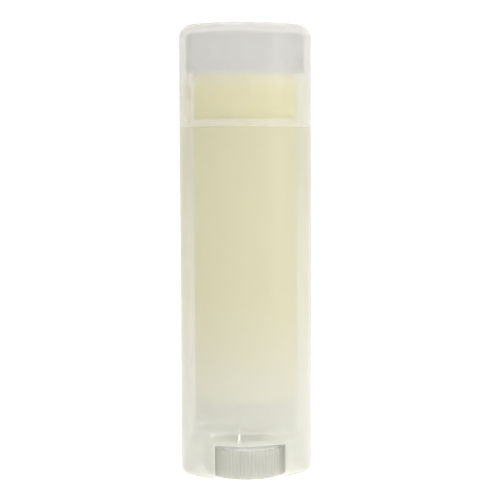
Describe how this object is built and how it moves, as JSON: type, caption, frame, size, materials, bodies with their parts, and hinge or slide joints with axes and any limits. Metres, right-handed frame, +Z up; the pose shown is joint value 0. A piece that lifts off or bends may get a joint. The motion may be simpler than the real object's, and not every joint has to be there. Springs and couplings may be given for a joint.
{
  "type": "lip balm",
  "caption": "Twist-up oval tube of lip balm in frosted plastic, with a ribbed thumb dial at the foot, a screw-driven balm stick and a pull-off cap.",
  "frame": {"origin": "middle of the foot, on the surface that the tube stands on", "axes": "+Z up the tube towards the cap, +X along the oval's long way, -Y out of the front"},
  "size_m": [0.02, 0.013, 0.0678],
  "materials": {
    "frosted_body": "natural polypropylene, translucent, fine frosted outer skin",
    "frosted_dial": "natural polypropylene, translucent, ribbed rim",
    "elevator_plastic": "natural polypropylene, smooth",
    "balm_wax": "cast wax and oil balm, pale yellow, soft sheen",
    "frosted_cap": "natural polypropylene, translucent, fine frosted outer skin"
  },
  "bodies": {
    "tube": {"barrel": "frosted_body"},
    "dial": {"dial": "frosted_dial"},
    "stick": {"elevator": "elevator_plastic", "balm": "balm_wax"},
    "cap": {"cap": "frosted_cap"}
  },
  "joints": [
    {"name": "dial_turn", "type": "hinge", "parent": "tube", "child": "dial", "pos_m": [0, 0, 0], "axis": [0, 0, 1], "range_deg": [0, 6120]},
    {"name": "elevator_rise", "type": "slide", "parent": "tube", "child": "stick", "axis": [0, 0, 1], "range_m": [0, 0.0425]},
    {"name": "cap_lift", "type": "slide", "parent": "stick", "child": "cap", "axis": [0, 0, 1], "range_m": [0, 0.03]}
  ],
  "couplings": [
    {"joint": "dial_turn", "follows": "elevator_rise", "rad_per_m": 2513.3}
  ]
}
